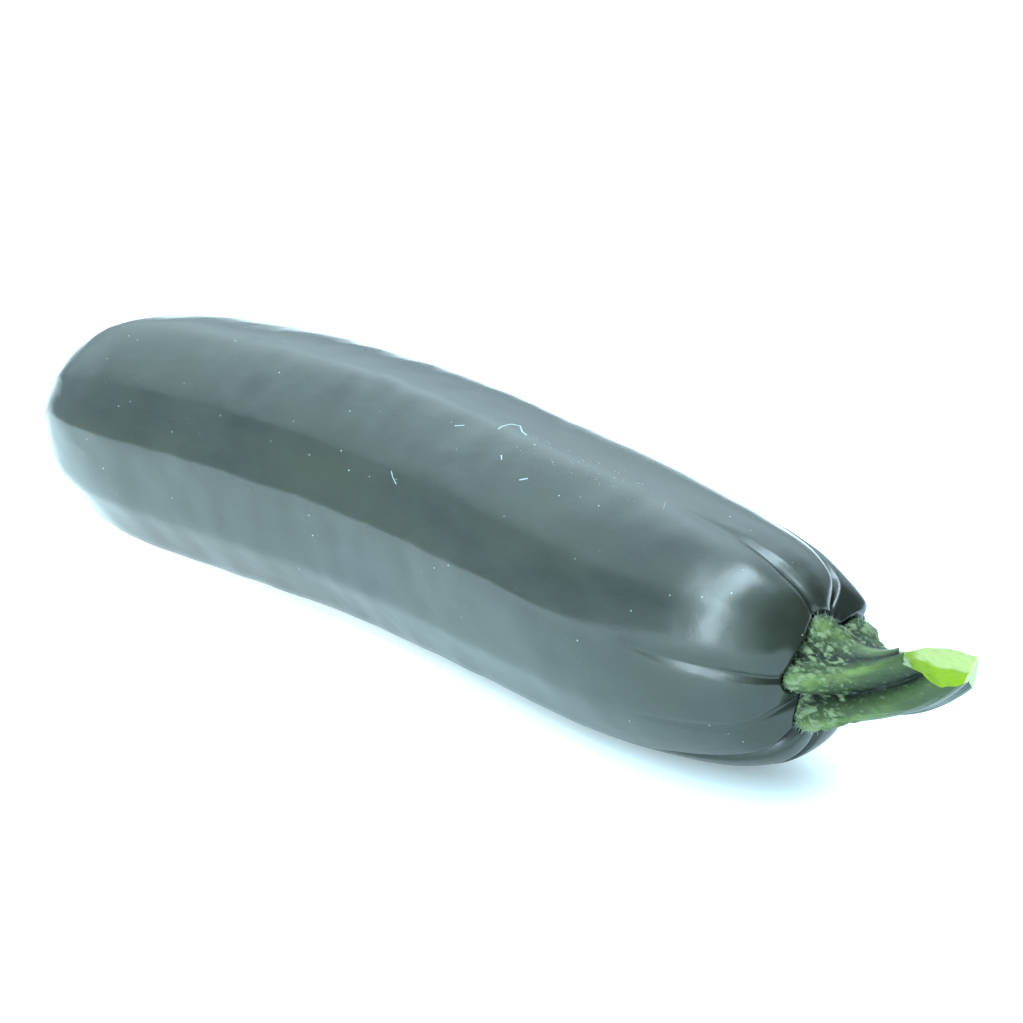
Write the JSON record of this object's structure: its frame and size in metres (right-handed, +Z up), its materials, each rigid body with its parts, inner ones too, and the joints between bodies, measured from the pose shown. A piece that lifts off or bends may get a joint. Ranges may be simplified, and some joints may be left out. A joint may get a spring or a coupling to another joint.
{
  "type": "courgette",
  "caption": "Dark green courgette lying on its side, ribbed along its length, with a ridged stalk that is cut on a slant.",
  "frame": {"origin": "on the resting surface, under the middle of the whole object's box", "axes": "+X along the fruit from the blossom end to the stalk, +Z up from the surface that it lies on"},
  "size_m": [0.2162, 0.0526, 0.0486],
  "materials": {
    "skin": "waxy dark green skin with a soft shine",
    "stalk": "green ridged rind, with pale yellow-green flesh on the cut"
  },
  "bodies": {
    "root": {"fruit": "skin", "stalk": "stalk"}
  },
  "joints": []
}
